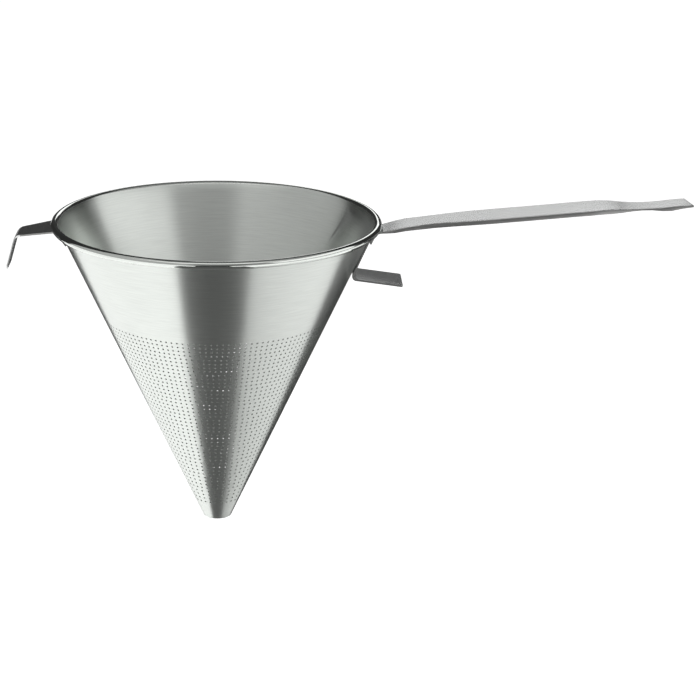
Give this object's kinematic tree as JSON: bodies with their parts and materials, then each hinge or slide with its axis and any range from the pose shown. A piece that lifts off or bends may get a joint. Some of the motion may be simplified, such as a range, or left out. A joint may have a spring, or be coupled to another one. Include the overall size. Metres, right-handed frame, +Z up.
{
  "type": "chinois strainer",
  "caption": "Conical perforated steel strainer with a wired rim, a long handle, a rest tab and a pot hook, for straining sauces over a pot.",
  "frame": {"origin": "centre of the rim's curl, on the cone's axis", "axes": "+Z up along the cone's axis, +X along the handle, away from the pot hook"},
  "size_m": [0.4144, 0.2, 0.2054],
  "materials": {
    "sheet_steel": "satin, brushed round the cone",
    "wire_steel": "drawn",
    "strip_steel": "satin, brushed along the strip"
  },
  "bodies": {
    "root": {"cone": "sheet_steel", "rim_wire": "wire_steel", "tip_cap": "sheet_steel", "handle": "strip_steel", "rest_bracket": "strip_steel", "pot_hook": "strip_steel"}
  },
  "joints": []
}
